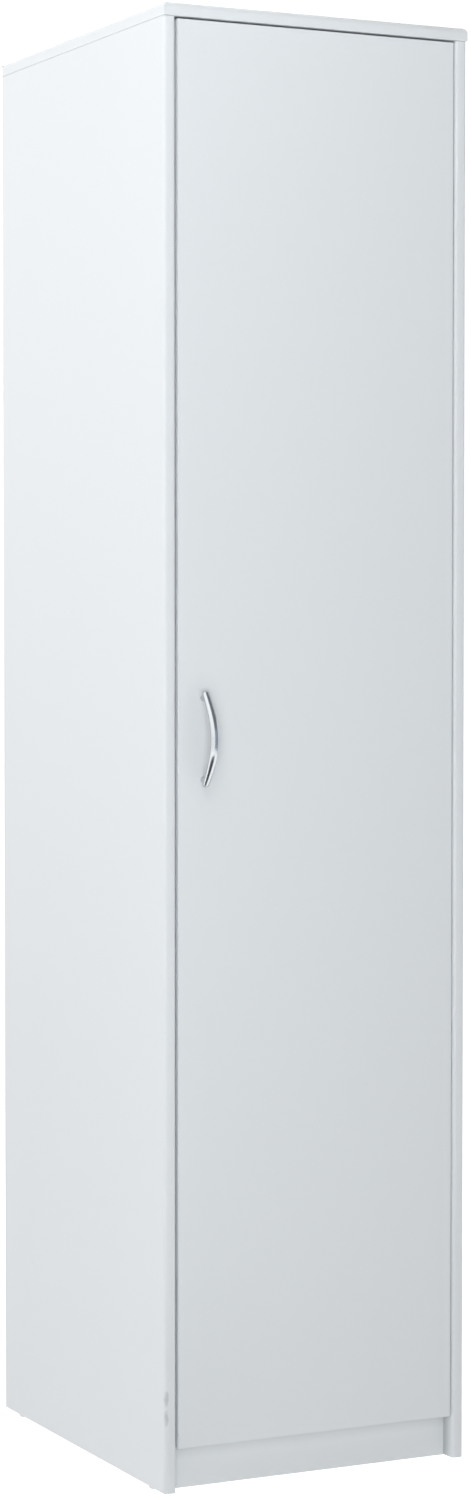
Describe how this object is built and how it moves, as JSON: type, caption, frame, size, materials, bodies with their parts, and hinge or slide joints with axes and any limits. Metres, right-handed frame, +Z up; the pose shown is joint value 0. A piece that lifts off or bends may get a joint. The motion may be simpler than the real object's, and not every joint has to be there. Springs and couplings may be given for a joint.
{
  "type": "wardrobe",
  "caption": "Tall narrow white wardrobe with an inset hinged door and bow handle, a hat shelf and an oval clothes rail inside, on a set-back plinth.",
  "frame": {"origin": "middle of the underside of the whole object's box, on the floor, handle included", "axes": "+Z up, -Y to the front where the door is, +X to the right as seen from the front"},
  "size_m": [0.406, 0.53, 1.75],
  "materials": {
    "laminate": "white melamine laminate on chipboard, satin",
    "back_sheet": "white-faced hardboard, brown behind",
    "chrome": "polished chrome plate",
    "nickel": "nickel-plated pressed steel",
    "zinc": "zinc-plated steel",
    "white_plastic": "moulded plastic",
    "clear_plastic": "soft clear bumper"
  },
  "bodies": {
    "carcass": {"left_side_panel": "laminate", "right_side_panel": "laminate", "top_panel": "laminate", "bottom_deck": "laminate", "plinth_board": "laminate", "hat_shelf": "laminate", "back_panel": "back_sheet", "clothes_rail": "chrome", "left_rail_socket": "nickel", "right_rail_socket": "nickel", "lower_hinge_arm": "nickel", "middle_hinge_arm": "nickel", "upper_hinge_arm": "nickel", "lower_hinge_plate": "nickel", "middle_hinge_plate": "nickel", "upper_hinge_plate": "nickel", "lower_arm_pin": "zinc", "middle_arm_pin": "zinc", "upper_arm_pin": "zinc", "left_front_top_cam_lock": "zinc", "left_rear_top_cam_lock": "zinc", "right_front_top_cam_lock": "zinc", "right_rear_top_cam_lock": "zinc", "left_front_top_cam_bolt": "zinc", "left_rear_top_cam_bolt": "zinc", "right_front_top_cam_bolt": "zinc", "right_rear_top_cam_bolt": "zinc", "left_front_deck_cam_lock": "zinc", "left_rear_deck_cam_lock": "zinc", "right_front_deck_cam_lock": "zinc", "right_rear_deck_cam_lock": "zinc", "left_front_deck_cam_bolt": "zinc", "left_rear_deck_cam_bolt": "zinc", "right_front_deck_cam_bolt": "zinc", "right_rear_deck_cam_bolt": "zinc", "left_front_shelf_pin": "zinc", "left_rear_shelf_pin": "zinc", "right_front_shelf_pin": "zinc", "right_rear_shelf_pin": "zinc", "left_front_glide": "white_plastic", "left_rear_glide": "white_plastic", "right_front_glide": "white_plastic", "right_rear_glide": "white_plastic"},
    "hinge_links": {"lower_hinge_link": "nickel", "middle_hinge_link": "nickel", "upper_hinge_link": "nickel"},
    "door": {"door_panel": "laminate", "bow_handle": "chrome", "lower_handle_screw": "zinc", "upper_handle_screw": "zinc", "door_bumper": "clear_plastic", "lower_hinge_cup": "nickel", "middle_hinge_cup": "nickel", "upper_hinge_cup": "nickel", "lower_cup_pin": "zinc", "middle_cup_pin": "zinc", "upper_cup_pin": "zinc"}
  },
  "joints": [
    {"name": "link_swing", "type": "hinge", "parent": "carcass", "child": "hinge_links", "pos_m": [0.1568, -0.216, 0.893], "axis": [0, 0, 1], "range_deg": [-41, 0]},
    {"name": "door_swing", "type": "hinge", "parent": "hinge_links", "child": "door", "pos_m": [0.1748, -0.2205, 0.893], "axis": [0, 0, 1], "range_deg": [0, 136]}
  ],
  "couplings": [
    {"joint": "link_swing", "follows": "door_swing", "ratio": -0.3}
  ]
}
